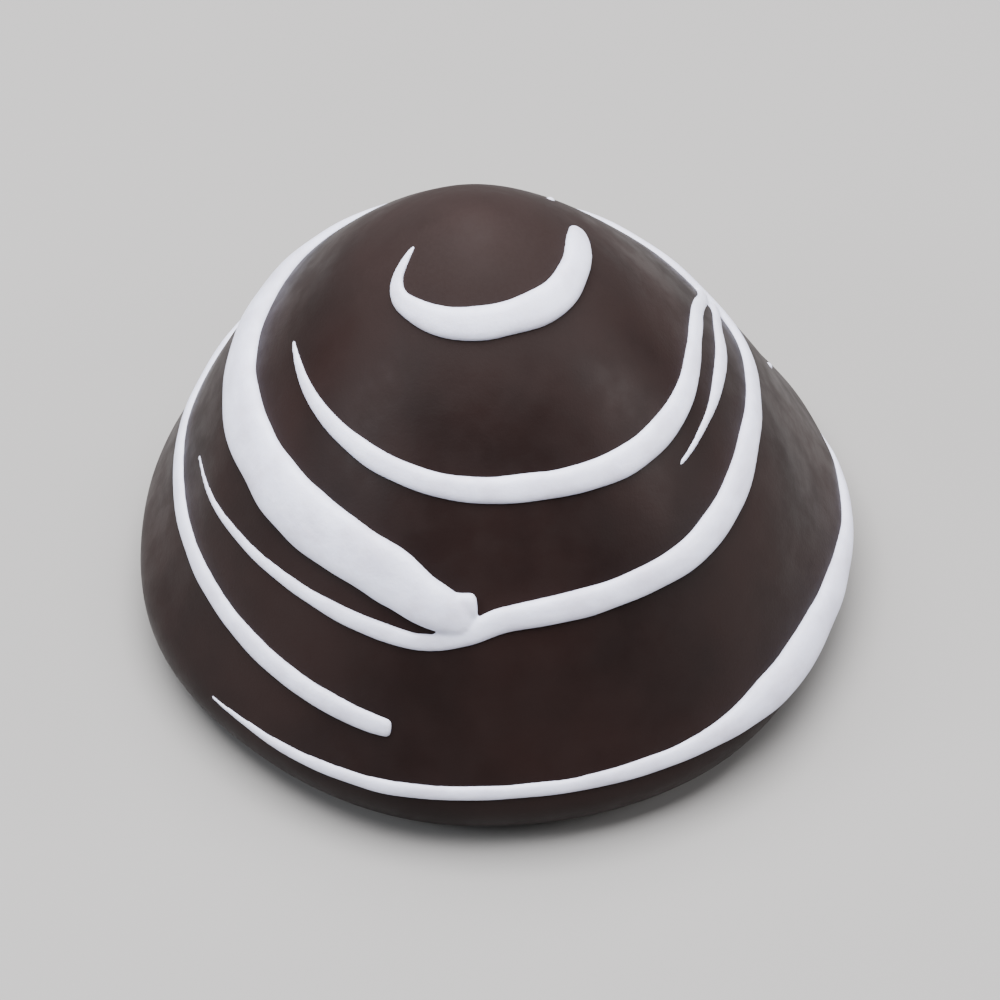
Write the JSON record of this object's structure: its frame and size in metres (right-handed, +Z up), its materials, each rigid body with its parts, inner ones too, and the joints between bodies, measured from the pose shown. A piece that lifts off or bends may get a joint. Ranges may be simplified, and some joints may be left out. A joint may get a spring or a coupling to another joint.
{
  "type": "chocolate coated strawberry",
  "caption": "Strawberry dipped whole in dark chocolate, a rounded cone standing tip up on its flat foot, with raised white chocolate stripes piped round it.",
  "frame": {"origin": "centre of the part's box on the surface that the flat foot rests on", "axes": "+Z up through the tip; -Y is the front, where the broad stripe ends on the main one; +X is to the right of it"},
  "size_m": [0.0452, 0.0468, 0.0327],
  "materials": {
    "dark_chocolate": null,
    "white_chocolate": null
  },
  "bodies": {
    "root": {"coated_strawberry": "dark_chocolate", "tip_stripe": "white_chocolate", "shoulder_stripes": "white_chocolate", "foot_stripe": "white_chocolate"}
  },
  "joints": []
}
